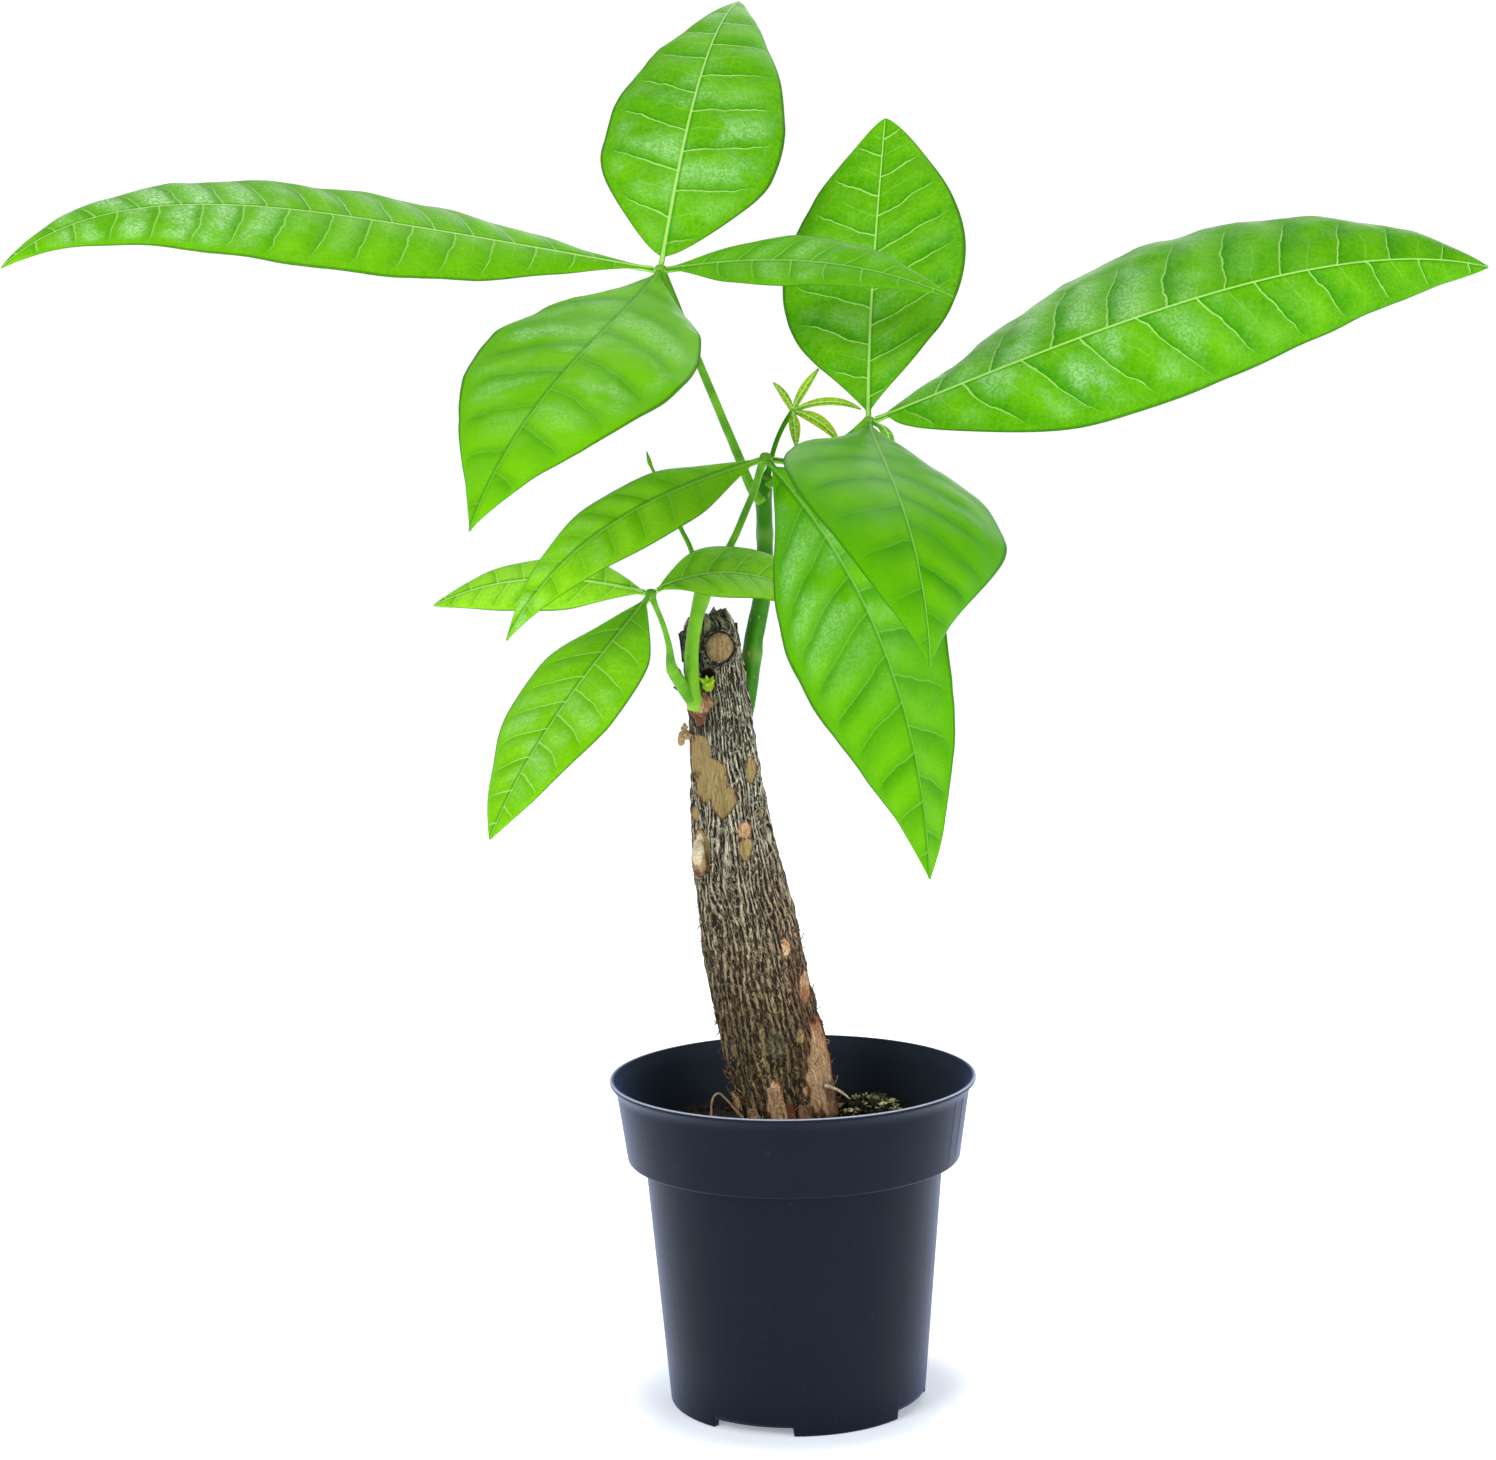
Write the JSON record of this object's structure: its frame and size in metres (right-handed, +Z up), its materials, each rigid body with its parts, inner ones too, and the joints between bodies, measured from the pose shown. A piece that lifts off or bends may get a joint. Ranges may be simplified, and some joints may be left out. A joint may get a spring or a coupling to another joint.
{
  "type": "potted money tree",
  "caption": "House plant with a thick leaning woody trunk, green shoots and palmate leaves on long stalks, standing in a round tapered nursery pot.",
  "frame": {"origin": "middle of the pot's foot ring on the floor, which is also the bottom centre of the whole tree's box", "axes": "+Z up, +X to the tree's right-hand side seen from its front, -Y towards the front"},
  "size_m": [0.4062, 0.1949, 0.4079],
  "materials": {
    "pot": "satin blue-black moulded plastic",
    "soil": "dark peat potting mix with chips",
    "moss": "pale dry moss",
    "bark": "grey-brown fissured bark with tan and orange patches",
    "green_shoot": "smooth light green skin",
    "dark_shoot": "smooth dark green skin with pale dots",
    "leaf": "semi-gloss green leaf with pale veins",
    "dark_leaf": "semi-gloss deeper green leaf with pale veins",
    "young_leaf": "tender yellow-green leaf"
  },
  "bodies": {
    "root": {"pot": "pot", "soil": "soil", "moss": "moss", "trunk": "bark", "shoot_back": "dark_shoot", "shoot_front": "green_shoot", "side_bud": "young_leaf", "petiole_a": "green_shoot", "petiole_b": "green_shoot", "petiole_c": "green_shoot", "petiole_d": "green_shoot", "petiole_young": "green_shoot", "young_leaf": "young_leaf", "leaf_a_top": "leaf", "leaf_a_left": "leaf", "leaf_a_front": "leaf", "leaf_a_right": "leaf", "leaf_a_hidden": "leaf", "leaf_b_top": "dark_leaf", "leaf_b_right": "dark_leaf", "leaf_b_front": "dark_leaf", "leaf_b_small": "dark_leaf", "leaf_c_left": "leaf", "leaf_c_front": "leaf", "leaf_c_hidden": "leaf", "leaf_d_left": "leaf", "leaf_d_front": "leaf", "leaf_d_right": "leaf"}
  },
  "joints": []
}
